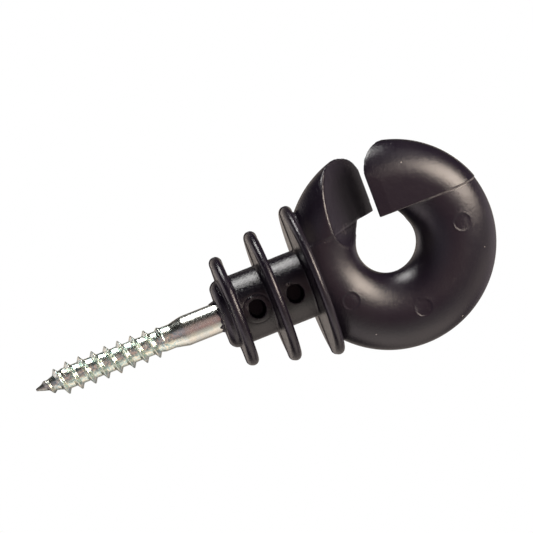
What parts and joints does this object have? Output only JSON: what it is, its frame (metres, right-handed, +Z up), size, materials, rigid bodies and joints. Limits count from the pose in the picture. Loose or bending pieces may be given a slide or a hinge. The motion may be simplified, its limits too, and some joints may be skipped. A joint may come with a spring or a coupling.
{
  "type": "electric fence ring insulator",
  "caption": "Screw-in fence insulator: a wood screw moulded into a plastic neck with rain sheds and a slotted ring that carries a fence rope.",
  "frame": {"origin": "on the neck's end face, which seats on the post, 4.5 mm straight below the screw's axis; it is the post_seat mount's point", "axes": "+X along the screw away from the post, +Z up towards the rope slot, Y across the ring, with the mould's parting plane at Y = 0"},
  "size_m": [0.096, 0.031, 0.0408],
  "materials": {
    "black_plastic": "semi-gloss moulded black polyolefin with a fine mould grain, thin parting lines and shallow ejector marks",
    "zinc_plated_steel": "bright zinc plating over rolled steel, slightly darker at the point"
  },
  "bodies": {
    "root": {"insulator_body": "black_plastic", "wood_screw": "zinc_plated_steel"}
  },
  "joints": []
}
